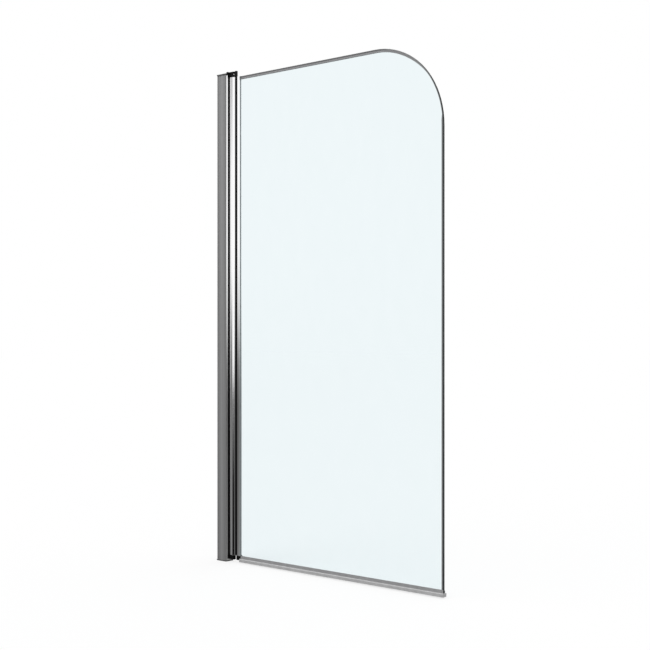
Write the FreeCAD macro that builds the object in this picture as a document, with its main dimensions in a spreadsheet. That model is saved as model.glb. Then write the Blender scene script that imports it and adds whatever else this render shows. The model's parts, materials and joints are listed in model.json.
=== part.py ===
import FreeCAD, Part
import math
import os
import re
import Sketcher

# A pivoting bath screen: a wall channel, a hinge post that slides in it, and a
# glass leaf that swings on the post. The origin is on the wall at the foot of
# the channel, in the middle of the glass. X runs along the glass away from the
# wall, Z is up and -Y faces the room. Lengths are in millimetres.

DRIVING_SIZES = {
    # the whole screen
    "screen_height": 1400,
    "screen_width": 800,
    # wall channel and its end caps
    "channel_depth": 37.2,
    "channel_width": 26,
    "channel_wall": 1.8,
    "end_cap_plate": 3,
    "end_cap_overhang": 2,
    "end_cap_corner": 1.5,
    "end_cap_plug_length": 8,
    "end_cap_plug_depth": 6,
    "wall_hole_diameter": 5.2,
    "wall_hole_count": 3,
    "wall_hole_spacing": 600,
    # hinge post that slides in the channel
    "slide_travel": 15,
    "slide_gap": 0.3,
    "post_wall": 1.6,
    "post_web": 2.5,
    "post_back": 9,
    "post_lip_reach": 4.7,
    "post_lip_wall": 1,
    "post_lip_drop": 6,
    # screws that clamp the post at its set width
    "fixing_count": 3,
    "fixing_spacing": 560,
    "fixing_inset": 6.2,
    "fixing_diameter": 4,
    "fixing_head_diameter": 7.6,
    "fixing_head_height": 2.2,
    "fixing_socket_width": 2.5,
    "fixing_socket_depth": 1.4,
    "fixing_tip": 1,
    "clamp_plate_thickness": 2.7,
    "clamp_plate_width": 7.4,
    "clamp_plate_height": 16,
    "screw_cap_wall": 1,
    "screw_cap_round": 0.9,
    # pivots
    "pivot_offset": 16.8,
    "pivot_cap_radius": 6.2,
    "pivot_cap_height": 12,
    "pivot_cap_rise": 3.7,
    "pivot_cap_edge": 1.2,
    "bottom_cap_lift": 7,
    "pin_radius": 3,
    "pin_reach": 16,
    "pin_chamfer": 0.5,
    "pin_end_cover": 2,
    "running_clearance": 0.08,
    "bush_wall": 2,
    "bush_flange": 1,
    "bush_rim": 1,
    "washer_thickness": 1,
    "thrust_gap": 0.1,
    "leaf_gap": 0.3,
    "assembly_clearance": 0.05,
    "cap_screw_diameter": 3,
    "cap_screw_head_diameter": 5.4,
    "cap_screw_head_height": 2.2,
    "cap_screw_reach": 10,
    "cap_screw_spacing": 6.8,
    "cap_screw_edge": 5,
    "lock_screw_diameter": 3,
    "lock_screw_angle": -40,
    "lock_screw_drop": 4.5,
    "lock_screw_recess": 0.2,
    # wiper seal between post and barrel
    "wiper_width": 10,
    "wiper_rib_width": 3,
    "wiper_rib_depth": 1.2,
    "barrel_gap": 0.3,
    # hinge profile
    "barrel_radius": 10.9,
    "neck_width": 12,
    "lip_start": 11.1,
    "lip_width": 1.1,
    "lip_rise": 1,
    "strip_width": 10.9,
    "strip_thickness": 0.9,
    "jaw_length": 9.05,
    "jaw_width": 16,
    "rear_jaw_setback": 8,
    "glazing_depth": 18,
    # end caps of the hinge profile
    "top_cap_start": 11.2,
    "top_cap_length": 12.5,
    "top_cap_plate": 1,
    "top_cap_head_length": 6.5,
    "top_cap_head_width": 5.6,
    "bottom_cap_start": 17.9,
    "bottom_cap_length": 9.8,
    "profile_cap_width": 14,
    "profile_cap_edge": 1,
    "profile_cap_tongue": 10,
    "profile_cap_floor": 1.2,
    # glass and its packing
    "glass_thickness": 6,
    "glass_corner_radius": 218,
    "glass_arris": 0.8,
    "glass_foot": 9.5,
    "setting_block_thickness": 4,
    "setting_block_height": 60,
    "setting_block_count": 3,
    "setting_block_inset": 39,
    "gasket_thickness": 1.5,
    "gasket_lip_length": 0.6,
    "gasket_lip_crown": 0.2,
    "gasket_lip_rise": 1.4,
    # bottom seal
    "seal_gap": 0.3,
    "seal_grip": 11.8,
    "seal_rear_drop": 2.6,
    "seal_wall": 1.7,
    "seal_floor": 1.9,
    "fin_gap": 1,
    "fin_wall": 1,
    "fin_flare": 2.25,
    "fin_root_height": 4.2,
    "fin_root_overlap": 1.05,
    "fin_slope": 2,
    "fin_foot": 3.3,
    "plug_thickness": 2.2,
    "plug_inset": 0.2,
    "plug_tab_length": 10,
    "plug_tab_gap": 0.4,
    # how far a cut runs past the face that it opens
    "cut_margin": 1,
}

# Sizes worked out from the driving ones, in the order that they need.
WORKED_SIZES = {
    "channel_half": "channel_width / 2",
    "channel_inside": "channel_half - channel_wall",
    "channel_length": "screen_height - 2 * end_cap_plate",
    "channel_top": "screen_height - end_cap_plate",
    "end_cap_half": "channel_half + end_cap_overhang",
    "end_plug_back": "channel_wall + slide_gap",
    "end_plug_half": "channel_inside - slide_gap",
    "wall_hole_low": "(screen_height - (wall_hole_count - 1) * wall_hole_spacing) / 2",
    "post_half": "channel_inside - slide_gap",
    "post_inside": "post_half - post_wall",
    "post_face": "channel_depth + slide_gap",
    "post_tip": "post_face + post_lip_reach",
    "post_shoulder": "post_face + post_wall",
    "post_lip_inner": "channel_half - post_lip_wall",
    "cap_head_base": "screen_height - post_lip_drop",
    "post_lip_top": "cap_head_base - slide_gap",
    "post_web_back": "post_face - post_web",
    "post_base": "end_cap_plate + slide_gap",
    "post_length": "screen_height - 2 * post_base",
    "fixing_x": "channel_depth - fixing_inset",
    "fixing_low": "(screen_height - (fixing_count - 1) * fixing_spacing) / 2",
    "fixing_radius": "fixing_diameter / 2",
    "fixing_slot_half": "fixing_radius + slide_gap",
    "clamp_outer": "post_inside - slide_gap",
    "clamp_inner": "clamp_outer - clamp_plate_thickness",
    "screw_cap_inside": "fixing_head_diameter / 2 + slide_gap",
    "pivot_x": "post_face + pivot_offset",
    "bottom_cap_top": "bottom_cap_lift + pivot_cap_height",
    "top_cap_base": "screen_height - pivot_cap_height",
    "top_cap_top": "screen_height + pivot_cap_rise",
    "top_cap_height": "top_cap_top - top_cap_base",
    "profile_base": "bottom_cap_top + washer_thickness + thrust_gap + bush_flange",
    "profile_top": "top_cap_base - leaf_gap - bush_flange",
    "profile_length": "profile_top - profile_base",
    "bush_bore": "pin_radius + running_clearance",
    "bush_radius": "bush_bore + bush_wall",
    "bush_flange_radius": "bush_radius + bush_rim",
    "cap_screw_radius": "cap_screw_diameter / 2",
    "cap_screw_low": "bottom_cap_top - cap_screw_edge",
    "cap_screw_high": "top_cap_base + cap_screw_edge",
    "lock_screw_radius": "lock_screw_diameter / 2",
    "lock_screw_level": "screen_height - lock_screw_drop",
    "lock_screw_start": "pin_radius + assembly_clearance",
    "lock_screw_length": "pivot_cap_radius - lock_screw_recess - lock_screw_start",
    "neck_half": "neck_width / 2",
    "jaw_half": "jaw_width / 2",
    "lip_x": "pivot_x + lip_start",
    "strip_x": "lip_x + lip_width",
    "jaw_x": "strip_x + strip_width + assembly_clearance",
    "jaw_end": "jaw_x + jaw_length",
    "rear_jaw_end": "jaw_end - rear_jaw_setback",
    "slot_x": "jaw_end - glazing_depth",
    "glass_half": "glass_thickness / 2",
    "gasket_inner": "glass_half + assembly_clearance",
    "gasket_outer": "gasket_inner + gasket_thickness",
    "gasket_lip_half": "gasket_outer + gasket_lip_rise",
    "slot_half": "gasket_outer + assembly_clearance",
    "glass_x": "slot_x + setting_block_thickness",
    "block_half": "slot_half - assembly_clearance",
    "block_low": "profile_base + setting_block_inset",
    "block_travel": "profile_length - 2 * setting_block_inset - setting_block_height",
    "top_cap_x": "pivot_x + top_cap_start",
    "bottom_cap_x": "pivot_x + bottom_cap_start",
    "bottom_cap_end": "bottom_cap_x + bottom_cap_length",
    "profile_cap_half": "profile_cap_width / 2",
    "profile_cap_foot": "glass_foot - assembly_clearance - profile_cap_floor",
    "seal_x": "jaw_end + gasket_lip_length + seal_gap",
    "seal_inner": "glass_half + assembly_clearance",
    "seal_outer": "seal_inner + seal_wall",
    "seal_top": "glass_foot + seal_grip",
    "seal_floor_top": "glass_foot - assembly_clearance",
    "seal_floor_base": "seal_floor_top - seal_floor",
    "fin_x": "bottom_cap_end + fin_gap",
    "fin_half": "seal_outer + fin_flare",
    "fin_root_base": "seal_floor_base + fin_root_overlap",
    "fin_root_top": "fin_root_base + fin_root_height",
    "fin_shoulder": "fin_root_top - fin_slope",
    "fin_inside": "fin_half - fin_wall",
}

doc = FreeCAD.newDocument("BathScreen")
pieces = []


# ---------------------------------------------------------------- size sheets

def fill_sheet(name, entries):
    """Make a sheet with one aliased cell for each entry."""
    sheet = doc.addObject("Spreadsheet::Sheet", name)
    for row, (alias, content) in enumerate(entries.items(), start=1):
        sheet.set(f"A{row}", alias)
        sheet.set(f"B{row}", content)
        sheet.setAlias(f"B{row}", alias)
    doc.recompute()
    return sheet


def linked(text):
    """Put the sheet's name before each size named in an expression."""
    def full_name(match):
        word = match.group()
        if word in DRIVING_SIZES:
            return "Sizes." + word
        if word in WORKED_SIZES:
            return "Worked." + word
        return word
    return re.sub(r"[a-z][a-z_]+", full_name, text)


fill_sheet("Sizes", {alias: str(size) for alias, size in DRIVING_SIZES.items()})
worked = fill_sheet("Worked", {
    alias: "=" + linked(text).replace("Worked.", "") for alias, text in WORKED_SIZES.items()
})


def bind(thing, target, text):
    thing.setExpression(target, linked(text))


def size(text):
    """The present value of an expression of sizes."""
    return float(worked.evalExpression(linked(text).replace("Worked.", "")))


# ------------------------------------------------------------ feature helpers

def new_piece(name):
    """A body for one node; its label names the node."""
    body = doc.addObject("PartDesign::Body", name)
    body.Label = name
    pieces.append(body)
    return body


def origin_feature(body, role):
    return next(item for item in body.Origin.OriginFeatures if item.Role == role)


def new_sketch(body, plane, offset):
    sketch = body.newObject("Sketcher::SketchObject", "Sketch")
    sketch.AttachmentSupport = [(origin_feature(body, plane + "_Plane"), "")]
    sketch.MapMode = "FlatFace"
    bind(sketch, "AttachmentOffset.Base.z", offset)
    return sketch


def pin_level(sketch, kind, edge, point, text):
    """Fix one point of a sketch edge along one axis, at an expression."""
    rule = Sketcher.Constraint(kind, -1, 1, edge, point, size(text))
    index = sketch.addConstraint(rule)
    bind(sketch, f"Constraints[{index}]", text)


def pin_point(sketch, edge, point, across, along):
    pin_level(sketch, "DistanceX", edge, point, across)
    pin_level(sketch, "DistanceY", edge, point, along)


def outline(*corners):
    """A drawing function for a closed outline through the corners."""
    def draw(sketch):
        points = [FreeCAD.Vector(size(across), size(along), 0) for across, along in corners]
        count = len(points)
        for index in range(count):
            following = points[(index + 1) % count]
            sketch.addGeometry(Part.LineSegment(points[index], following), False)
        for index in range(count):
            meeting = Sketcher.Constraint("Coincident", index, 2, (index + 1) % count, 1)
            sketch.addConstraint(meeting)
        for index, (across, along) in enumerate(corners):
            pin_point(sketch, index, 1, across, along)
    return draw


def rectangle(left, right, low, high):
    return outline((left, low), (right, low), (right, high), (left, high))


def circle(across, along, radius):
    """A drawing function for one circle."""
    def draw(sketch):
        centre = FreeCAD.Vector(size(across), size(along), 0)
        axis = FreeCAD.Vector(0, 0, 1)
        sketch.addGeometry(Part.Circle(centre, axis, size(radius)), False)
        pin_point(sketch, 0, 3, across, along)
        index = sketch.addConstraint(Sketcher.Constraint("Radius", 0, size(radius)))
        bind(sketch, f"Constraints[{index}]", radius)
    return draw


def bullet(back, centre, radius):
    """A drawing function for a strip from back that ends in a half circle."""
    def draw(sketch):
        middle = FreeCAD.Vector(size(centre), 0, 0)
        reach = size(radius)
        low = FreeCAD.Vector(size(centre), -reach, 0)
        high = FreeCAD.Vector(size(centre), reach, 0)
        low_back = FreeCAD.Vector(size(back), -reach, 0)
        high_back = FreeCAD.Vector(size(back), reach, 0)
        ring = Part.Circle(middle, FreeCAD.Vector(0, 0, 1), reach)
        sketch.addGeometry(Part.LineSegment(low_back, low), False)
        sketch.addGeometry(Part.ArcOfCircle(ring, -math.pi / 2, math.pi / 2), False)
        sketch.addGeometry(Part.LineSegment(high, high_back), False)
        sketch.addGeometry(Part.LineSegment(high_back, low_back), False)
        for first, second in ((0, 1), (1, 2), (2, 3), (3, 0)):
            meeting = Sketcher.Constraint("Coincident", first, 2, second, 1)
            sketch.addConstraint(meeting)
        pin_point(sketch, 0, 1, back, f"-({radius})")
        pin_point(sketch, 1, 1, centre, f"-({radius})")
        pin_point(sketch, 2, 1, centre, radius)
        pin_point(sketch, 3, 1, back, radius)
        pin_level(sketch, "DistanceX", 1, 3, centre)
    return draw


def hexagon(across, along, width):
    """A drawing function for a hexagon with this width across its flats."""
    corners = []
    for corner in range(6):
        angle = math.radians(60 * corner + 30)
        reach = f"({width}) / {math.sqrt(3):.6f}"
        corners.append((f"{across} + {reach} * {math.cos(angle):.6f}",
                        f"{along} + {reach} * {math.sin(angle):.6f}"))
    return outline(*corners)


def add(body, plane, draw, start, length):
    """Pad a drawing from start over length, along the plane's positive axis."""
    faces_back = plane == "XZ"
    offset = f"-(({start}) + ({length}))" if faces_back else start
    sketch = new_sketch(body, plane, offset)
    draw(sketch)
    pad = body.newObject("PartDesign::Pad", "Pad")
    pad.Profile = sketch
    bind(pad, "Length", length)
    doc.recompute()
    return pad


def cut(body, plane, draw, start, length):
    """Pocket a drawing from start over length, along the plane's positive axis."""
    before = body.Shape.Volume
    faces_back = plane == "XZ"
    offset = f"-({start})" if faces_back else f"({start}) + ({length})"
    sketch = new_sketch(body, plane, offset)
    draw(sketch)
    pocket = body.newObject("PartDesign::Pocket", "Pocket")
    pocket.Profile = sketch
    bind(pocket, "Length", length)
    doc.recompute()
    if body.Shape.Volume >= before:
        raise RuntimeError(f"a pocket in {body.Label} removes nothing")
    return pocket


def turn_about_pivot(feature, start):
    """Aim a feature drawn on the YZ plane away from the pivot at the lock screw's angle."""
    sketch = feature.Profile[0]
    sketch.AttachmentOffset = FreeCAD.Placement(
        FreeCAD.Vector(0, 0, 0), FreeCAD.Rotation(FreeCAD.Vector(0, 1, 0), size("lock_screw_angle")))
    bind(sketch, "AttachmentOffset.Rotation.Angle", "lock_screw_angle")
    bind(sketch, "AttachmentOffset.Base.x", f"({start}) * sin(lock_screw_angle)")
    bind(sketch, "AttachmentOffset.Base.z", f"pivot_x + ({start}) * cos(lock_screw_angle)")
    doc.recompute()


def repeat(body, features, axis, count, spacing):
    """Repeat features along an axis, evenly spaced."""
    pattern = body.newObject("PartDesign::LinearPattern", "Pattern")
    pattern.Originals = features
    pattern.Direction = (origin_feature(body, axis + "_Axis"), [""])
    bind(pattern, "Occurrences", count)
    bind(pattern, "Length", f"({spacing}) * (({count}) - 1)")
    body.Tip = pattern
    doc.recompute()
    return pattern


def edge_names(body, wanted):
    """Names of the body's edges for which wanted(edge) holds."""
    return [f"Edge{number}" for number, edge in enumerate(body.Shape.Edges, start=1)
            if wanted(edge)]


def dress(body, kind, names, amount):
    """Fillet or chamfer the named edges."""
    base = body.Tip
    feature = body.newObject("PartDesign::" + kind, kind)
    feature.Base = (base, names)
    bind(feature, "Radius" if kind == "Fillet" else "Size", amount)
    body.Tip = feature
    doc.recompute()
    return feature


def lies_at(edge, **levels):
    """True where every point of the edge has the given coordinate values."""
    box = edge.BoundBox
    spans = {"x": (box.XMin, box.XMax), "y": (box.YMin, box.YMax), "z": (box.ZMin, box.ZMax)}
    near = 1e-4
    return all(abs(end - level) < near for axis, level in levels.items() for end in spans[axis])


# ------------------------------------------------------------------ wall side

def make_wall_channel():
    body = new_piece("wall_channel")
    section = outline(
        ("0", "-channel_half"), ("channel_depth", "-channel_half"),
        ("channel_depth", "-channel_inside"), ("channel_wall", "-channel_inside"),
        ("channel_wall", "channel_inside"), ("channel_depth", "channel_inside"),
        ("channel_depth", "channel_half"), ("0", "channel_half"))
    add(body, "XY", section, "end_cap_plate", "channel_length")
    wall_hole = cut(body, "YZ", circle("0", "wall_hole_low", "wall_hole_diameter / 2"),
                    "-cut_margin", "channel_wall + 2 * cut_margin")
    repeat(body, [wall_hole], "Z", "wall_hole_count", "wall_hole_spacing")
    hole_radius = "fixing_radius + assembly_clearance"
    fixing_hole = cut(body, "XZ", circle("fixing_x", "fixing_low", hole_radius),
                      "channel_inside - cut_margin", "channel_wall + 2 * cut_margin")
    repeat(body, [fixing_hole], "Z", "fixing_count", "fixing_spacing")


def make_channel_end_cap(name, plate_base, plug_base):
    body = new_piece(name)
    add(body, "XY", rectangle("0", "channel_depth", "-end_cap_half", "end_cap_half"),
        plate_base, "end_cap_plate")
    reach = size("channel_depth")
    side = size("end_cap_half")
    corners = edge_names(body, lambda edge: lies_at(edge, x=reach, y=side)
                         or lies_at(edge, x=reach, y=-side))
    dress(body, "Fillet", corners, "end_cap_corner")
    add(body, "XY", rectangle("end_plug_back", "end_plug_back + end_cap_plug_depth",
                              "-end_plug_half", "end_plug_half"),
        plug_base, "end_cap_plug_length")


def make_fixing_screws():
    body = new_piece("fixing_screws")
    head = add(body, "XZ", circle("fixing_x", "fixing_low", "fixing_head_diameter / 2"),
               "channel_half", "fixing_head_height")
    shank_end = "clamp_inner - fixing_tip"
    shank = add(body, "XZ", circle("fixing_x", "fixing_low", "fixing_radius"),
                shank_end, f"channel_half - ({shank_end})")
    socket = cut(body, "XZ", hexagon("fixing_x", "fixing_low", "fixing_socket_width"),
                 "channel_half + fixing_head_height - fixing_socket_depth",
                 "fixing_socket_depth + cut_margin")
    repeat(body, [head, shank, socket], "Z", "fixing_count", "fixing_spacing")


def make_clamp_plates():
    body = new_piece("clamp_plates")
    plate = add(body, "XZ",
                rectangle("fixing_x - clamp_plate_width / 2", "fixing_x + clamp_plate_width / 2",
                          "fixing_low - clamp_plate_height / 2",
                          "fixing_low + clamp_plate_height / 2"),
                "clamp_inner", "clamp_plate_thickness")
    hole = cut(body, "XZ",
               circle("fixing_x", "fixing_low", "fixing_radius + assembly_clearance"),
               "clamp_inner - cut_margin", "clamp_plate_thickness + 2 * cut_margin")
    repeat(body, [plate, hole], "Z", "fixing_count", "fixing_spacing")


def make_fixing_screw_caps():
    body = new_piece("fixing_screw_caps")
    inside_height = "fixing_head_height + slide_gap"
    shell = add(body, "XZ",
                circle("fixing_x", "fixing_low", "screw_cap_inside + screw_cap_wall"),
                "channel_half", f"{inside_height} + screw_cap_wall")
    hollow = cut(body, "XZ", circle("fixing_x", "fixing_low", "screw_cap_inside"),
                 "channel_half - cut_margin", f"{inside_height} + cut_margin")
    repeat(body, [shell, hollow], "Z", "fixing_count", "fixing_spacing")
    crown = size(f"channel_half + {inside_height} + screw_cap_wall")
    dress(body, "Fillet", edge_names(body, lambda edge: lies_at(edge, y=crown)),
          "screw_cap_round")


# ----------------------------------------------------------------- hinge post

def make_hinge_post():
    body = new_piece("hinge_post")
    section = outline(
        ("post_back", "-post_half"), ("post_face", "-post_half"),
        ("post_face", "-channel_half"), ("post_tip", "-channel_half"),
        ("post_tip", "-post_lip_inner"), ("post_shoulder", "-post_lip_inner"),
        ("post_shoulder", "-post_inside"), ("post_face", "-post_inside"),
        ("post_face", "post_inside"), ("post_shoulder", "post_inside"),
        ("post_shoulder", "post_lip_inner"), ("post_tip", "post_lip_inner"),
        ("post_tip", "channel_half"), ("post_face", "channel_half"),
        ("post_face", "post_half"), ("post_back", "post_half"),
        ("post_back", "post_inside"), ("post_web_back", "post_inside"),
        ("post_web_back", "-post_inside"), ("post_back", "-post_inside"))
    add(body, "XY", section, "post_base", "post_length")
    cut(body, "XY", rectangle("post_face", "post_tip + cut_margin",
                              "-channel_half - cut_margin", "channel_half + cut_margin"),
        "post_lip_top", "screen_height - post_lip_top")
    groove_half = "(wiper_rib_width / 2 + assembly_clearance)"
    cut(body, "XY", rectangle("post_face - wiper_rib_depth - assembly_clearance",
                              "post_face + cut_margin", f"-{groove_half}", groove_half),
        "post_base - cut_margin", "post_length + 2 * cut_margin")
    slot = cut(body, "XZ",
               rectangle("fixing_x - slide_travel - fixing_slot_half",
                         "fixing_x + fixing_slot_half",
                         "fixing_low - fixing_slot_half", "fixing_low + fixing_slot_half"),
               "post_inside - cut_margin", "post_wall + 2 * cut_margin")
    repeat(body, [slot], "Z", "fixing_count", "fixing_spacing")
    for level in ("cap_screw_low", "cap_screw_high"):
        hole = cut(body, "YZ", circle("-cap_screw_spacing / 2", level,
                                      "cap_screw_radius + assembly_clearance"),
                   "post_web_back - cut_margin", "post_web + 2 * cut_margin")
        repeat(body, [hole], "Y", "2", "cap_screw_spacing")


def make_wiper_seal():
    body = new_piece("wiper_seal")
    wide = "wiper_width / 2"
    rib = "wiper_rib_width / 2"
    rib_back = "post_face - wiper_rib_depth"
    section = outline(
        ("post_face", f"-{wide}"), ("pivot_x", f"-{wide}"), ("pivot_x", wide),
        ("post_face", wide), ("post_face", rib), (rib_back, rib),
        (rib_back, f"-{rib}"), ("post_face", f"-{rib}"))
    add(body, "XY", section, "bottom_cap_top", "top_cap_base - bottom_cap_top")
    cut(body, "XY", circle("pivot_x", "0", "barrel_radius + barrel_gap"),
        "bottom_cap_top - cut_margin", "top_cap_base - bottom_cap_top + 2 * cut_margin")


def make_pivot_cap(name, base, height, hole_base, outer_face, screw_level, head_base=None):
    """A cap that holds a pivot pin; with a head base it also covers the post's lips."""
    body = new_piece(name)
    add(body, "XY", bullet("post_face", "pivot_x", "pivot_cap_radius"), base, height)
    if head_base:
        add(body, "XY", rectangle("post_face", "post_tip", "-channel_half", "channel_half"),
            head_base, f"{outer_face} - {head_base}")
    level = size(outer_face)
    seat = size("post_face")
    rim = edge_names(body, lambda edge: lies_at(edge, z=level) and not lies_at(edge, x=seat))
    dress(body, "Fillet", rim, "pivot_cap_edge")
    cut(body, "XY", circle("pivot_x", "0", "pin_radius + assembly_clearance"),
        hole_base, f"{height} - pin_end_cover + cut_margin")
    screw_hole = cut(body, "YZ", circle("-cap_screw_spacing / 2", screw_level,
                                        "cap_screw_radius + assembly_clearance"),
                     "post_face - cut_margin", "cap_screw_reach + 2 * cut_margin")
    repeat(body, [screw_hole], "Y", "2", "cap_screw_spacing")
    return body


def cut_lock_screw_hole(body):
    """A side hole from the pin's bore to the outside of the top pivot cap."""
    reach = "lock_screw_length + lock_screw_recess + cut_margin"
    hole = cut(body, "YZ", circle("0", "lock_screw_level", "lock_screw_radius + assembly_clearance"),
               "pivot_x + lock_screw_start", reach)
    turn_about_pivot(hole, f"(lock_screw_start + {reach})")


def make_pin_lock_screw():
    body = new_piece("pin_lock_screw")
    screw = add(body, "YZ", circle("0", "lock_screw_level", "lock_screw_radius"),
                "pivot_x + lock_screw_start", "lock_screw_length")
    turn_about_pivot(screw, "lock_screw_start")


def make_pivot_pin(name, base, top):
    body = new_piece(name)
    add(body, "XY", circle("pivot_x", "0", "pin_radius"), base, f"({top}) - ({base})")
    ends = edge_names(body, lambda edge: lies_at(edge, z=size(base)) or lies_at(edge, z=size(top)))
    dress(body, "Chamfer", ends, "pin_chamfer")


def make_cap_screws(name, level):
    body = new_piece(name)
    head = add(body, "YZ", circle("-cap_screw_spacing / 2", level, "cap_screw_head_diameter / 2"),
               "post_web_back - cap_screw_head_height", "cap_screw_head_height")
    shank = add(body, "YZ", circle("-cap_screw_spacing / 2", level, "cap_screw_radius"),
                "post_web_back", "post_web + cap_screw_reach")
    repeat(body, [head, shank], "Y", "2", "cap_screw_spacing")


def make_thrust_washer():
    body = new_piece("thrust_washer")
    add(body, "XY", circle("pivot_x", "0", "bush_flange_radius"),
        "bottom_cap_top", "washer_thickness")
    cut(body, "XY", circle("pivot_x", "0", "bush_bore"),
        "bottom_cap_top - cut_margin", "washer_thickness + 2 * cut_margin")


# ----------------------------------------------------------------- glass leaf

def make_hinge_profile():
    body = new_piece("hinge_profile")
    lip_half = "(neck_half + lip_rise)"
    front = [("pivot_x", "-neck_half"), ("lip_x", "-neck_half"), ("lip_x", f"-{lip_half}"),
             ("strip_x", f"-{lip_half}"), ("strip_x", "-neck_half"), ("jaw_x", "-neck_half"),
             ("jaw_x", "-jaw_half"), ("jaw_end", "-jaw_half"), ("jaw_end", "-slot_half"),
             ("slot_x", "-slot_half")]
    rear = [(across.replace("jaw_end", "rear_jaw_end"), along.lstrip("-"))
            for across, along in reversed(front)]
    add(body, "XY", outline(*front, *rear), "profile_base", "profile_length")
    add(body, "XY", circle("pivot_x", "0", "barrel_radius"), "profile_base", "profile_length")
    cut(body, "XY", circle("pivot_x", "0", "bush_radius + assembly_clearance"),
        "profile_base - cut_margin", "profile_length + 2 * cut_margin")


def make_bush(name, sleeve_base, flange_base):
    body = new_piece(name)
    add(body, "XY", circle("pivot_x", "0", "bush_radius"), sleeve_base, "pin_reach")
    add(body, "XY", circle("pivot_x", "0", "bush_flange_radius"), flange_base, "bush_flange")
    cut(body, "XY", circle("pivot_x", "0", "bush_bore"),
        f"{sleeve_base} - bush_flange - cut_margin",
        "pin_reach + 2 * bush_flange + 2 * cut_margin")


def round_cap_edges(body, outer_face):
    level = size(outer_face)
    dress(body, "Fillet", edge_names(body, lambda edge: lies_at(edge, z=level)),
          "profile_cap_edge")


def make_profile_top_cap():
    body = new_piece("profile_top_cap")
    add(body, "XY", rectangle("top_cap_x", "top_cap_x + top_cap_head_length",
                              "-profile_cap_half", "top_cap_head_width - profile_cap_half"),
        "profile_top", "top_cap_top - profile_top")
    round_cap_edges(body, "top_cap_top")
    add(body, "XY", rectangle("top_cap_x", "top_cap_x + top_cap_length",
                              "-profile_cap_half", "profile_cap_half"),
        "profile_top", "top_cap_plate")
    add(body, "XY", rectangle("slot_x + assembly_clearance", "glass_x - seal_gap",
                              "-block_half", "block_half"),
        "profile_top - profile_cap_tongue", "profile_cap_tongue")


def make_profile_bottom_cap():
    body = new_piece("profile_bottom_cap")
    add(body, "XY", rectangle("bottom_cap_x", "bottom_cap_end",
                              "-profile_cap_half", "profile_cap_half"),
        "profile_cap_foot", "profile_base - profile_cap_foot")
    round_cap_edges(body, "profile_cap_foot")
    cut(body, "XY", rectangle("bottom_cap_x - cut_margin", "bottom_cap_end + cut_margin",
                              "-gasket_inner", "gasket_inner"),
        "glass_foot - assembly_clearance", "profile_base - glass_foot + 2 * cut_margin")


def make_cover_strip(name, low, high):
    body = new_piece(name)
    add(body, "XY", rectangle("strip_x + assembly_clearance", "strip_x + strip_width", low, high),
        "profile_base", "profile_length")


def make_glazing_gasket(name, side, end):
    body = new_piece(name)
    lip_end = f"{end} + gasket_lip_length"
    section = outline(
        ("glass_x", f"{side}gasket_inner"), (lip_end, f"{side}gasket_inner"),
        (lip_end, f"{side}(gasket_lip_half - gasket_lip_rise)"),
        (f"{end} + gasket_lip_crown", f"{side}gasket_lip_half"),
        (end, f"{side}gasket_lip_half"),
        (end, f"{side}gasket_outer"), ("glass_x", f"{side}gasket_outer"))
    add(body, "XY", section, "profile_base", "profile_length")


def make_setting_blocks():
    body = new_piece("setting_blocks")
    block = add(body, "XY", rectangle("slot_x + assembly_clearance",
                                      "glass_x - assembly_clearance",
                                      "-block_half", "block_half"),
                "block_low", "setting_block_height")
    repeat(body, [block], "Z", "setting_block_count", "block_travel / (setting_block_count - 1)")


def make_glass_panel():
    body = new_piece("glass_panel")
    add(body, "XZ", rectangle("glass_x", "screen_width", "glass_foot", "profile_top"),
        "-glass_half", "glass_thickness")
    corner = edge_names(body, lambda edge: lies_at(edge, x=size("screen_width"),
                                                   z=size("profile_top")))
    dress(body, "Fillet", corner, "glass_corner_radius")
    half = size("glass_half")
    rims = edge_names(body, lambda edge: lies_at(edge, y=half) or lies_at(edge, y=-half))
    dress(body, "Chamfer", rims, "glass_arris")


def make_bottom_seal_carrier():
    body = new_piece("bottom_seal_carrier")
    rear_top = "seal_top - seal_rear_drop"
    section = outline(
        ("-seal_outer", "seal_floor_base"), ("seal_outer", "seal_floor_base"),
        ("seal_outer", rear_top), ("seal_inner", rear_top),
        ("seal_inner", "seal_floor_top"), ("-seal_inner", "seal_floor_top"),
        ("-seal_inner", "seal_top"), ("-seal_outer", "seal_top"))
    add(body, "YZ", section, "seal_x", "screen_width - seal_x")


def make_bottom_seal_fins():
    body = new_piece("bottom_seal_fins")
    section = outline(
        ("-seal_outer", "fin_root_top"), ("-fin_half", "fin_shoulder"),
        ("-fin_half", "fin_foot"), ("-fin_inside", "fin_foot"),
        ("-fin_inside", "fin_root_base"), ("-seal_outer", "fin_root_base"))
    fin = add(body, "YZ", section, "fin_x", "screen_width - fin_x")
    mirror = body.newObject("PartDesign::Mirrored", "Mirrored")
    mirror.Originals = [fin]
    mirror.MirrorPlane = (origin_feature(body, "XZ_Plane"), [""])
    body.Tip = mirror


def make_seal_end_plug():
    body = new_piece("seal_end_plug")
    plate_half = "(fin_half - plug_inset)"
    add(body, "YZ", rectangle(f"-{plate_half}", plate_half,
                              "fin_foot + plug_inset", "fin_root_top - plug_inset"),
        "screen_width", "plug_thickness")
    tab_half = "(fin_inside - plug_tab_gap)"
    add(body, "YZ", rectangle(f"-{tab_half}", tab_half,
                              "fin_foot + fin_wall", "seal_floor_base - plug_inset"),
        "screen_width - plug_tab_length", "plug_tab_length")


# ------------------------------------------------------------------- assembly

make_wall_channel()
make_channel_end_cap("channel_top_cap", "channel_top", "channel_top - end_cap_plug_length")
make_channel_end_cap("channel_bottom_cap", "0", "end_cap_plate")
make_fixing_screws()
make_clamp_plates()
make_fixing_screw_caps()

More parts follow.
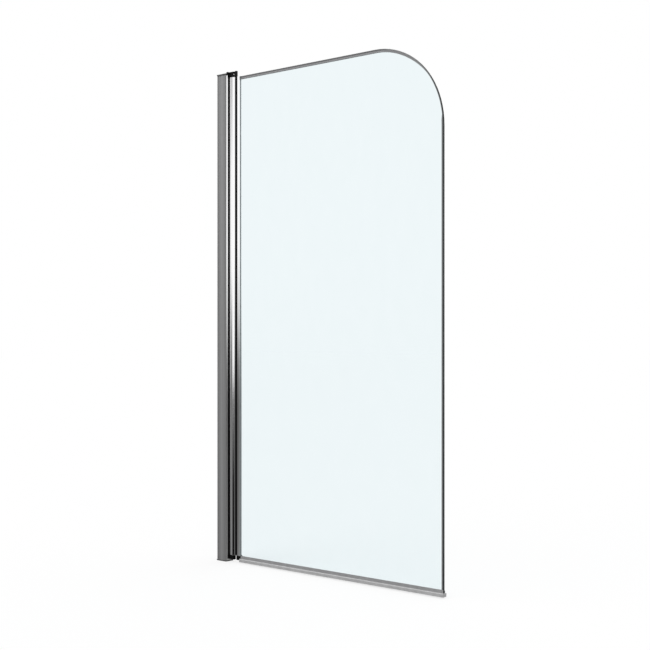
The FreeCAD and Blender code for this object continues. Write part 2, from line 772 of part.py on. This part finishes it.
make_hinge_post()
make_wiper_seal()
top_cap = make_pivot_cap("top_pivot_cap", "top_cap_base", "top_cap_height",
                         "top_cap_base - cut_margin", "top_cap_top", "cap_screw_high",
                         "cap_head_base")
cut_lock_screw_hole(top_cap)
make_pivot_cap("bottom_pivot_cap", "bottom_cap_lift", "pivot_cap_height",
               "bottom_cap_lift + pin_end_cover", "bottom_cap_lift", "cap_screw_low")
make_pivot_pin("top_pivot_pin", "profile_top - pin_reach",
               "top_cap_top - pin_end_cover - assembly_clearance")
make_pivot_pin("bottom_pivot_pin", "bottom_cap_lift + pin_end_cover + assembly_clearance",
               "profile_base + pin_reach")
make_pin_lock_screw()
make_cap_screws("top_cap_screws", "cap_screw_high")
make_cap_screws("bottom_cap_screws", "cap_screw_low")
make_thrust_washer()

make_hinge_profile()
make_bush("top_pivot_bush", "profile_top - pin_reach", "profile_top")
make_bush("bottom_pivot_bush", "profile_base", "profile_base - bush_flange")
make_profile_top_cap()
make_profile_bottom_cap()
make_cover_strip("front_cover_strip", "-neck_half - strip_thickness", "-neck_half")
make_cover_strip("rear_cover_strip", "neck_half", "neck_half + strip_thickness")
make_glazing_gasket("front_glazing_gasket", "-", "jaw_end")
make_glazing_gasket("rear_glazing_gasket", "", "rear_jaw_end")
make_setting_blocks()
make_glass_panel()
make_bottom_seal_carrier()
make_bottom_seal_fins()
make_seal_end_plug()

doc.recompute()

for item in doc.Objects:
    if "Invalid" in item.State or "Error" in item.State:
        raise RuntimeError(f"{item.Label} failed: {item.State}")
for piece in pieces:
    if piece.Shape.isNull() or not piece.Shape.isValid():
        raise RuntimeError(f"{piece.Label} has no valid shape")

os.makedirs("parts", exist_ok=True)
for piece in pieces:
    piece.Shape.exportStep(f"parts/{piece.Label}.step")
    box = piece.Shape.BoundBox
    print(f"{piece.Label:24s} {len(piece.Shape.Solids)} solids {piece.Shape.Volume:12.1f} mm3"
          f"  X {box.XMin:7.2f} {box.XMax:7.2f}  Y {box.YMin:6.2f} {box.YMax:6.2f}"
          f"  Z {box.ZMin:7.2f} {box.ZMax:7.2f}")
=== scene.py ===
"""Bath screen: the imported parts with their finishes, a pale studio and the photograph's camera."""

import json
import math

import bpy
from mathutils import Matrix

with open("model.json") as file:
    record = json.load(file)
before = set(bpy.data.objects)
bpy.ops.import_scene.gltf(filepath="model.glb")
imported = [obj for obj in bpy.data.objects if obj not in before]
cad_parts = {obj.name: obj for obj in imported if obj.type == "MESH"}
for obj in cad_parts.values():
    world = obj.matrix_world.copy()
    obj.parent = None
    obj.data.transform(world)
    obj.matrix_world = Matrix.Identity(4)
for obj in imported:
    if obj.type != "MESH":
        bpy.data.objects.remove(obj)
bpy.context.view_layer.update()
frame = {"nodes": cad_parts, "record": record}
NODES = frame["nodes"]

# ---------------------------------------------------------------- sizes, in metres
HINGE_X = 0.0543
GLASS_EDGE_X = 0.800
GLASS_TOP_Z = 1.3867
GLASS_CORNER = 0.218
GLASS_HALF = 0.003
ARRIS = 0.0008
EDGE_BEVEL = {
    "wall_channel": 0.00030,
    "hinge_post": 0.00030,
    "hinge_profile": 0.00030,
    "channel_top_cap": 0.00035,
    "channel_bottom_cap": 0.00035,
    "profile_top_cap": 0.00040,
    "profile_bottom_cap": 0.00040,
    "wiper_seal": 0.00025,
    "front_cover_strip": 0.00020,
    "rear_cover_strip": 0.00020,
    "front_glazing_gasket": 0.00030,
    "rear_glazing_gasket": 0.00030,
    "bottom_seal_carrier": 0.00040,
    "bottom_seal_fins": 0.00030,
    "seal_end_plug": 0.00040,
    "clamp_plates": 0.00030,
}
BEVEL_SEGMENTS = 2
BEVEL_FROM_ANGLE = math.radians(40.0)

# ---------------------------------------------------------------- camera
CAMERA_PLACE = (2.6354, -2.4869, 0.6523)
CAMERA_LEVEL = math.radians(90.0)
CAMERA_AZIMUTH = math.radians(41.85)
CAMERA_LENS = 69.07
CAMERA_SENSOR = 36.0
CAMERA_SHIFT = (-0.0010, 0.0140)
CAMERA_SEES_TO = 100.0

camera_data = bpy.data.cameras.new("camera")
camera_data.lens = CAMERA_LENS
camera_data.sensor_width = CAMERA_SENSOR
camera_data.shift_x, camera_data.shift_y = CAMERA_SHIFT
camera_data.clip_end = CAMERA_SEES_TO
camera = bpy.data.objects.new("camera", camera_data)
camera.location = CAMERA_PLACE
camera.rotation_euler = (CAMERA_LEVEL, 0.0, CAMERA_AZIMUTH)
bpy.context.scene.collection.objects.link(camera)
bpy.context.scene.camera = camera
bpy.context.scene.view_settings.view_transform = "Standard"

# ---------------------------------------------------------------- node helpers
NOISE_LOW = 0.3  # nearly all of a noise lies between these two
NOISE_HIGH = 0.7


def grey(value, blue=0.0):
    """A grey as RGBA, a little bluer or warmer."""
    return (value, value, value + blue, 1.0)


def shades(color, down, up):
    """A colour made darker by one share and lighter by another, both as RGBA."""
    dark = tuple(part * (1.0 - down) for part in color)
    light = tuple(min(1.0, part * (1.0 + up)) for part in color)
    return dark + (1.0,), light + (1.0,)


class Tree:
    """A few short words for building a material's or the world's nodes."""

    def __init__(self, owner):
        owner.use_nodes = True
        self.owner = owner
        self.tree = owner.node_tree
        self.tree.nodes.clear()

    def node(self, kind, **settings):
        made = self.tree.nodes.new(kind)
        for key, value in settings.items():
            setattr(made, key, value)
        return made

    def fill(self, made, values):
        """Links or sets a node's inputs, which values names or counts."""
        for key, value in values.items():
            socket = made.inputs[key]
            if hasattr(value, "links"):
                self.tree.links.new(value, socket)
            else:
                socket.default_value = value
        return made

    def finish(self, surface, kind="ShaderNodeOutputMaterial"):
        """Puts the surface out, and gives back the material or world."""
        self.fill(self.node(kind), {"Surface": surface})
        return self.owner

    # numbers
    def math(self, operation, a, b=0.0):
        return self.fill(self.node("ShaderNodeMath", operation=operation), {0: a, 1: b}).outputs[0]

    def times(self, a, b):
        return self.math("MULTIPLY", a, b)

    def weigh(self, a, share, b):
        """A mean in which a has this share and b the rest."""
        return self.math("ADD", self.times(a, share), self.times(b, 1.0 - share))

    def past(self, value, start):
        """How far a value lies past a start, and 0 before it."""
        return self.math("MAXIMUM", self.math("SUBTRACT", value, start), 0.0)

    def ramp(self, factor, low, high, from_value=0.0, to_value=1.0, kind="SMOOTHSTEP"):
        """Maps low..high to from_value..to_value, and stays at those two beyond it."""
        ends = {"From Min": low, "From Max": high, "To Min": from_value, "To Max": to_value}
        made = self.node("ShaderNodeMapRange", interpolation_type=kind)
        return self.fill(made, {"Value": factor, **ends}).outputs["Result"]

    def vary(self, noise, low=0.0, high=1.0):
        """Maps the middle of a noise to low..high."""
        return self.ramp(noise, NOISE_LOW, NOISE_HIGH, low, high)

    def place(self):
        """A point's place in the object's own metres."""
        return self.node("ShaderNodeTexCoord").outputs["Object"]

    def axes(self):
        """The same place as X, Y and Z."""
        return self.fill(self.node("ShaderNodeSeparateXYZ"), {0: self.place()}).outputs

    def noise(self, scale, stretch=(1.0, 1.0, 1.0), detail=3.0, roughness=0.55):
        """Noise over the object; a small number in stretch draws it out along that axis."""
        spread = self.fill(self.node("ShaderNodeMapping"), {"Vector": self.place(), "Scale": stretch})
        settings = {"Scale": scale, "Detail": detail, "Roughness": roughness}
        made = self.node("ShaderNodeTexNoise")
        return self.fill(made, {"Vector": spread.outputs["Vector"], **settings}).outputs["Fac"]

    def seen(self):
        """1 for rays that show a thing, straight, mirrored or through the pane, else 0."""
        rays = self.node("ShaderNodeLightPath").outputs
        direct = self.math("MAXIMUM", rays["Is Camera Ray"], rays["Is Transmission Ray"])
        return self.math("MAXIMUM", direct, rays["Is Glossy Ray"])

    # colours
    def mix_color(self, factor, a, b, blend_type="MIX"):
        made = self.node("ShaderNodeMix", data_type="RGBA", blend_type=blend_type)
        return self.fill(made, {0: factor, 6: a, 7: b}).outputs[2]

    def straight(self, factor, points):
        """A grey that runs straight from point to point, each one (factor, brightness)."""
        made = self.node("ShaderNodeValToRGB")
        low, high = points[0][0], points[-1][0]
        stops = made.color_ramp.elements
        for place, _ in points[1:-1]:
            stops.new((place - low) / (high - low))
        for stop, (_, value) in zip(stops, points):
            stop.color = grey(value)
        return self.fill(made, {0: self.ramp(factor, low, high, kind="LINEAR")}).outputs[0]

    # surfaces
    def bump(self, height, distance):
        made = self.node("ShaderNodeBump")
        return self.fill(made, {"Distance": distance, "Height": height}).outputs["Normal"]

    def paint(self, color, roughness, bumps=None, metallic=0.0, specular=0.5):
        made = self.fill(
            self.node("ShaderNodeBsdfPrincipled"),
            {
                "Base Color": color,
                "Roughness": roughness,
                "Metallic": metallic,
                "Specular IOR Level": specular,
            },
        )
        if bumps is not None:
            self.fill(made, {"Normal": bumps})
        return made.outputs[0]

    def mix_shader(self, factor, a, b):
        return self.fill(self.node("ShaderNodeMixShader"), {0: factor, 1: a, 2: b}).outputs[0]


# ---------------------------------------------------------------- metal, plastic and rubber
def drawn_metal(
    name, color, roughness, streak, rough_spread=0.06, lines=0.000012, metallic=1.0, across=None
):
    """Extruded metal: fine die lines run along its length, with a slow change of tone.
    across gives points of painted reflection: brightness against the distance from the wall."""
    tree = Tree(bpy.data.materials.new(name))
    fine = tree.noise(scale=2600.0, stretch=(1.0, 1.0, 0.004), detail=4.0)
    broad = tree.noise(scale=160.0, stretch=(1.0, 1.0, 0.01), detail=2.0)
    cloud = tree.noise(scale=9.0, stretch=(1.0, 1.0, 0.35), detail=3.0)
    tint = tree.mix_color(tree.vary(tree.weigh(fine, 0.5, broad)), *shades(color, streak, streak))
    # painted reflection: the tone is multiplied by a brightness that runs across the face
    if across:
        tint = tree.mix_color(1.0, tint, tree.straight(tree.axes()["X"], across), "MULTIPLY")
    rough = tree.vary(
        tree.weigh(fine, 0.6, cloud), roughness - rough_spread, roughness + rough_spread
    )
    return tree.finish(tree.paint(tint, rough, tree.bump(fine, lines), metallic=metallic))


def turned_metal(
    name, color, roughness, darker=0.18, lighter=0.08, smoother=0.05, rougher=0.08, grain=0.00001
):
    """Turned or plated steel: a fine grain and faint stains."""
    tree = Tree(bpy.data.materials.new(name))
    fine = tree.noise(scale=3200.0, detail=3.0)
    stain = tree.noise(scale=260.0, detail=4.0)
    tint = tree.mix_color(tree.vary(stain), *shades(color, darker, lighter))
    rough = tree.vary(fine, roughness - smoother, roughness + rougher)
    return tree.finish(tree.paint(tint, rough, tree.bump(fine, grain), metallic=1.0))


def moulded(
    name,
    color,
    roughness,
    scale=1800.0,
    spread=0.25,
    rough_spread=0.07,
    grain=0.00003,
    specular=0.5,
    clear=0.0,
):
    """Moulded plastic or extruded rubber: a fine spark grain and slight changes of tone.
    clear is the share of light that passes straight through."""
    tree = Tree(bpy.data.materials.new(name))
    fine = tree.noise(scale=scale, detail=2.0, roughness=0.6)
    cloud = tree.noise(scale=70.0, stretch=(1.0, 1.0, 0.3), detail=4.0)
    tint = tree.mix_color(tree.vary(tree.weigh(fine, 0.4, cloud)), *shades(color, spread, spread))
    rough = tree.vary(cloud, roughness - rough_spread, roughness + rough_spread)
    surface = tree.paint(tint, rough, tree.bump(fine, grain), specular=specular)
    if clear:
        through = tree.node("ShaderNodeBsdfTransparent")
        surface = tree.mix_shader(clear, surface, through.outputs[0])
    return tree.finish(surface)


# ---------------------------------------------------------------- the pane
# The border is a painted reflection, a grey band standing in for the pane's edge seen mirrored inside
# it. Its look follows how much the outline beside it faces up, which is 1 along the straight top and
# 0 down the free side. Each pair says where a change starts and ends.
TOP_BORDER = 0.0084  # width along the straight top, in metres
BEND_BORDER = 0.0023  # width in the upper part of the corner
SIDE_BORDER = 0.0054  # width down the free side
TOP_WIDENS = (0.55, 0.96)
SIDE_NARROWS = (0.04, 0.20)
PAINTED_REFLECTION_SIDE_TO_TOP = (0.40, 0.75)
# painted highlight on the bend: where it rises and falls, and how strong it is
PAINTED_HIGHLIGHT_BEND_STARTS = (0.55, 0.82)
PAINTED_HIGHLIGHT_BEND_ENDS = (0.975, 1.0)
PAINTED_HIGHLIGHT_SHARE = 0.85
# the next two are shares of the border's width, counted from the outline
BORDER_ENDS = (0.86, 1.04)
PAINTED_REFLECTION_OUTER_ENDS = (0.30, 0.72)
BORDER_COVER = 0.92
# painted reflection: the tones of the grey band along the outline
PAINTED_REFLECTION_OUTER = grey(0.125, 0.004)
PAINTED_REFLECTION_INNER = grey(0.43, 0.010)
PAINTED_REFLECTION_SIDE = grey(0.065, 0.003)
# painted highlight on the bend of the outline
PAINTED_HIGHLIGHT_BEND = grey(0.33, 0.006)
SPECK_TONE = grey(0.5)
SPECK_SHARE = 0.25
BORDER_ROUGH = (0.18, 0.30)
BORDER_SPECULAR = 0.2
EDGE_TONES = ((0.006, 0.010, 0.009, 1.0), (0.014, 0.021, 0.019, 1.0))
EDGE_ROUGH = (0.10, 0.20)
EDGE_SPECULAR = 0.12
# the edge's look gives way to the face's between these distances from the pane's middle plane
EDGE_ENDS = (GLASS_HALF - ARRIS - 0.0001, GLASS_HALF - 0.0002)
CLEAR_TINTS = ((0.927, 0.963, 0.972, 1.0), (0.931, 0.966, 0.975, 1.0))
SHINE_ROUGHNESS = 0.02
SHINE_IOR = 1.18
TINY = 0.0001  # keeps a division from dividing by nothing


def clear_part(tree):
    """A tinted face to look through, with a faint mirror on its outer side."""
    ripple = tree.noise(scale=26.0, stretch=(1.0, 1.0, 0.5), detail=2.0)
    tint = tree.mix_color(tree.vary(ripple), *CLEAR_TINTS)
    clear = tree.fill(tree.node("ShaderNodeBsdfTransparent"), {"Color": tint})
    shine = tree.node("ShaderNodeBsdfGlossy")
    tree.fill(shine, {"Color": grey(1.0), "Roughness": SHINE_ROUGHNESS})
    fresnel = tree.fill(tree.node("ShaderNodeFresnel"), {"IOR": SHINE_IOR})
    side = tree.node("ShaderNodeNewGeometry")
    facing = tree.math("SUBTRACT", 1.0, side.outputs["Backfacing"])
    mirror = tree.times(fresnel.outputs[0], facing)
    return tree.mix_shader(mirror, clear.outputs[0], shine.outputs[0])


def painted_reflection_border(tree, grain, upward, share):
    """The painted reflection along the outline, with a painted highlight on the bend; share runs from
    0 at the outline to 1 at the border's inner side.
    """
    outer = tree.ramp(share, *PAINTED_REFLECTION_OUTER_ENDS, 1.0, 0.0)
    is_top = tree.ramp(upward, *PAINTED_REFLECTION_SIDE_TO_TOP)
    tone = tree.mix_color(is_top, PAINTED_REFLECTION_SIDE, tree.mix_color(outer, PAINTED_REFLECTION_INNER, PAINTED_REFLECTION_OUTER))
    # painted highlight: the bend of the outline is painted lighter, as if it catches more light than
    # the straight parts beside it
    rise = tree.ramp(upward, *PAINTED_HIGHLIGHT_BEND_STARTS)
    fall = tree.ramp(upward, *PAINTED_HIGHLIGHT_BEND_ENDS, PAINTED_HIGHLIGHT_SHARE, 0.0)
    tone = tree.mix_color(tree.times(rise, fall), tone, PAINTED_HIGHLIGHT_BEND)
    tone = tree.mix_color(tree.times(grain, SPECK_SHARE), tone, SPECK_TONE)
    return tree.paint(tone, tree.vary(grain, *BORDER_ROUGH), specular=BORDER_SPECULAR)


def pane(name):
    """The clear pane: a faint tint through each face, a grey border of painted reflection and a dark
    edge.
    """
    tree = Tree(bpy.data.materials.new(name))
    axes = tree.axes()

    # how far a point lies inside the outline, and how much that part of the outline faces up
    past_x = tree.past(axes["X"], GLASS_EDGE_X - GLASS_CORNER)
    past_z = tree.past(axes["Z"], GLASS_TOP_Z - GLASS_CORNER)
    squares = tree.math("ADD", tree.times(past_x, past_x), tree.times(past_z, past_z))
    reach = tree.math("SQRT", squares)
    inside = tree.math("SUBTRACT", GLASS_CORNER, reach)
    upward = tree.math("DIVIDE", past_z, tree.math("MAXIMUM", reach, TINY))

    # the painted reflection narrows round the corner and comes back, darker, down the free side
    top_width = tree.ramp(upward, *TOP_WIDENS, BEND_BORDER, TOP_BORDER)
    side_width = tree.ramp(upward, *SIDE_NARROWS, SIDE_BORDER, 0.0)
    share = tree.math("DIVIDE", inside, tree.math("MAXIMUM", top_width, side_width))
    cover = tree.times(tree.ramp(share, *BORDER_ENDS, 1.0, 0.0), BORDER_COVER)
    grain = tree.noise(scale=900.0, detail=3.0)
    # the painted reflection covers the clear face along the outline
    face = tree.mix_shader(cover, clear_part(tree), painted_reflection_border(tree, grain, upward, share))

    edge_tone = tree.mix_color(grain, *EDGE_TONES)
    edge = tree.paint(edge_tone, tree.vary(grain, *EDGE_ROUGH), specular=EDGE_SPECULAR)
    is_edge = tree.ramp(tree.math("ABSOLUTE", axes["Y"]), *EDGE_ENDS, 1.0, 0.0)
    return tree.finish(tree.mix_shader(is_edge, face, edge))


# ---------------------------------------------------------------- finishes on the imported parts
# painted reflection: brightness painted onto the channel's anodised faces against the distance from
# the wall
CHANNEL_PAINTED_REFLECTION = (
    (0.0, 0.58),
    (0.0075, 0.78),
    (0.017, 0.98),
    (0.023, 0.92),
    (0.033, 0.74),
    (0.040, 0.70),
)

FINISH = {
    "satin_aluminium": drawn_metal(
        "satin_aluminium", (0.43, 0.43, 0.433), 0.55, streak=0.14, metallic=0.7, across=CHANNEL_PAINTED_REFLECTION
    ),
    "bright_aluminium": drawn_metal(
        "bright_aluminium", (0.955, 0.955, 0.96), 0.07, streak=0.03, rough_spread=0.03, lines=0.000002
    ),
    "black_plastic": moulded("black_plastic", (0.006, 0.006, 0.006), 0.42, specular=0.12),
    "black_rubber": moulded("black_rubber", (0.005, 0.005, 0.005), 0.60, scale=2600.0, specular=0.10),
    "stainless_steel": turned_metal("stainless_steel", (0.60, 0.60, 0.59), 0.28),
    "zinc_steel": turned_metal("zinc_steel", (0.50, 0.50, 0.49), 0.42),
    "white_nylon": moulded("white_nylon", (0.80, 0.80, 0.77), 0.45, spread=0.05),
    "clear_glass": pane("clear_glass"),
    "grey_seal": moulded("grey_seal", (0.40, 0.40, 0.405), 0.38, spread=0.08),
    "pale_seal": moulded("pale_seal", (0.58, 0.58, 0.585), 0.38, spread=0.08),
    "grey_gasket": moulded("grey_gasket", (0.22, 0.25, 0.255), 0.55, spread=0.15),
    "clear_gasket": moulded("clear_gasket", (0.92, 0.94, 0.94), 0.35, spread=0.03, clear=0.45),
    "grey_plastic": moulded("grey_plastic", (0.12, 0.12, 0.12), 0.45, spread=0.15),
}

slots = {row["node"]: row["material_slot"] for row in frame["record"]["subparts"]}
for name, node in NODES.items():
    node.data.materials.clear()
    node.data.materials.append(FINISH[slots[name]])
    for face in node.data.polygons:
        face.material_index = 0
    if name in EDGE_BEVEL:
        bevel = node.modifiers.new("edges", "BEVEL")
        bevel.width = EDGE_BEVEL[name]
        bevel.segments = BEVEL_SEGMENTS
        bevel.limit_method = "ANGLE"
        bevel.angle_limit = BEVEL_FROM_ANGLE
        bevel.harden_normals = True


# ---------------------------------------------------------------- studio
def all_round(far_left, left, middle, right, beside, behind):
    """Runs with the two azimuths, in degrees, between which each takes over from the last."""
    return (
        (-182.0, -181.0, far_left),
        (-158.0, -142.0, left),
        (-133.0, -107.5, middle),
        (-100.0, -76.0, right),
        (-17.5, 5.7, beside),
        (20.0, 36.0, behind),
        (100.0, 150.0, far_left),
    )


FLOOR_HALF = 30.0
FLOOR_GREY = 0.25
FLOOR_GLOW = 0.746
AMBIENT = 0.62  # how bright the surroundings light the part; rays that show them see 1
FLAG_LIFT = 0.002
FLAG_NEAREST = 0.001
# brightness against the tenfold logarithm of the distance from the part, in metres
FLAG_RUNS = all_round(
    far_left=((-0.8, 0.16), (0.45, 0.40), (1.5, 0.27)),
    left=((-0.8, 0.18), (0.9, 0.13), (1.5, 0.25)),
    middle=((0.0, 0.23), (1.5, 0.17)),
    right=((-0.8, 0.006), (0.3, 0.015), (0.95, 0.17), (1.3, 0.90)),
    beside=((-1.0, 0.26), (0.45, 0.05), (1.5, 0.02)),
    behind=((0.9, 0.31), (1.5, 0.50)),
)
BAND_SIDES = 48
BAND_REACH = 30.0
BAND_HEIGHT = 8.0
# brightness against the height above the floor, in metres
BAND_RUNS = all_round(
    far_left=((0.0, 0.25), (4.3, 0.55), (5.6, 0.22)),
    left=((0.0, 0.25), (1.6, 0.75), (2.9, 1.0)),
    middle=((0.0, 0.15), (0.8, 0.25), (2.4, 1.0), (5.0, 1.0), (7.5, 0.20)),
    right=((0.0, 0.95), (0.6, 1.0)),
    beside=((0.0, 0.02), (1.0, 0.10), (3.0, 1.0)),
    behind=((0.0, 0.50), (2.0, 1.0)),
)


def card(name, points, faces, material, only_glossy=False):
    """A plain mesh of the studio; with only_glossy nothing but a mirror shows it."""
    mesh = bpy.data.meshes.new(name)
    mesh.from_pydata(points, [], faces)
    mesh.materials.append(material)
    made = bpy.data.objects.new(name, mesh)
    bpy.context.scene.collection.objects.link(made)
    if only_glossy:
        made.visible_camera = False
        made.visible_diffuse = False
        made.visible_transmission = False
        made.visible_shadow = False
        made.visible_volume_scatter = False
    return made


def floor_square(height):
    corners = ((-1.0, -1.0), (1.0, -1.0), (1.0, 1.0), (-1.0, 1.0))
    return [(x * FLOOR_HALF, y * FLOOR_HALF, height) for x, y in corners]


def floor_material(name):
    """Matte for the part's shadow, with a glow that makes it as pale as the surroundings."""
    tree = Tree(bpy.data.materials.new(name))
    matte = tree.fill(tree.node("ShaderNodeBsdfDiffuse"), {"Color": grey(FLOOR_GREY)})
    strength = tree.times(tree.seen(), FLOOR_GLOW)
    glow = tree.fill(tree.node("ShaderNodeEmission"), {"Strength": strength})
    both = tree.node("ShaderNodeAddShader")
    return tree.finish(tree.fill(both, {0: matte.outputs[0], 1: glow.outputs[0]}).outputs[0])


def distance_away(tree):
    length = tree.fill(tree.node("ShaderNodeVectorMath", operation="LENGTH"), {0: tree.place()})
    return tree.math("LOGARITHM", tree.math("MAXIMUM", length.outputs["Value"], FLAG_NEAREST), 10.0)


def height_up(tree):
    return tree.axes()["Z"]


def mirrored_glow(name, measure, runs):
    """Emission for what only bright parts mirror: each run gives brightness against measure(tree)
    and takes over from the one before it between two azimuths, seen from the part."""
    tree = Tree(bpy.data.materials.new(name))
    axes = tree.axes()
    azimuth = tree.times(tree.math("ARCTAN2", axes["Y"], axes["X"]), math.degrees(1.0))
    amount = measure(tree)
    tone = grey(1.0)
    for start, end, points in runs:
        tone = tree.mix_color(tree.ramp(azimuth, start, end), tone, tree.straight(amount, points))
    glow = tree.fill(tree.node("ShaderNodeEmission"), {"Color": tone})
    return tree.finish(glow.outputs[0])


card("studio_floor", floor_square(0.0), [(0, 1, 2, 3)], floor_material("studio_floor"))

# a darker card close above the floor, for bright parts to mirror in its place
low_flag = card(
    "studio_low_flag",
    floor_square(FLAG_LIFT),
    [(0, 1, 2, 3)],
    mirrored_glow("low_flag", distance_away, FLAG_RUNS),
    only_glossy=True,
)
low_flag.location.x = HINGE_X

# a low band all round, in which the same parts mirror the haze above the floor's far edge
ring = [2.0 * math.pi * step / BAND_SIDES for step in range(BAND_SIDES)]
band_points = [
    (BAND_REACH * math.cos(turn), BAND_REACH * math.sin(turn), level)
    for level in (0.0, BAND_HEIGHT)
    for turn in ring
]
band_faces = [
    (step, (step + 1) % BAND_SIDES, BAND_SIDES + (step + 1) % BAND_SIDES, BAND_SIDES + step)
    for step in range(BAND_SIDES)
]
low_band = card(
    "studio_low_band",
    band_points,
    band_faces,
    mirrored_glow("low_band", height_up, BAND_RUNS),
    only_glossy=True,
)
low_band.location.x = HINGE_X

tree = Tree(bpy.data.worlds.new("studio"))
back = tree.node("ShaderNodeBackground")
tree.fill(back, {"Color": tree.mix_color(tree.seen(), grey(AMBIENT), grey(1.0))})
bpy.context.scene.world = tree.finish(back.outputs[0], "ShaderNodeOutputWorld")


def sun(name, toward, spread, strength):
    """A broad soft light from one direction, the same all over the floor."""
    data = bpy.data.lights.new(name, "SUN")
    data.angle = math.radians(spread)
    data.energy = strength
    made = bpy.data.objects.new(name, data)
    across = math.hypot(toward[0], toward[1])
    made.rotation_euler = (math.atan2(across, toward[2]), 0.0, math.atan2(toward[0], -toward[1]))
    made.visible_glossy = False
    bpy.context.scene.collection.objects.link(made)


sun("key", toward=(-0.35, -0.75, 0.9), spread=60.0, strength=0.9)
sun("fill", toward=(0.9, -0.1, 0.6), spread=80.0, strength=0.5)
sun("back", toward=(-0.1, 0.9, 0.7), spread=80.0, strength=0.5)
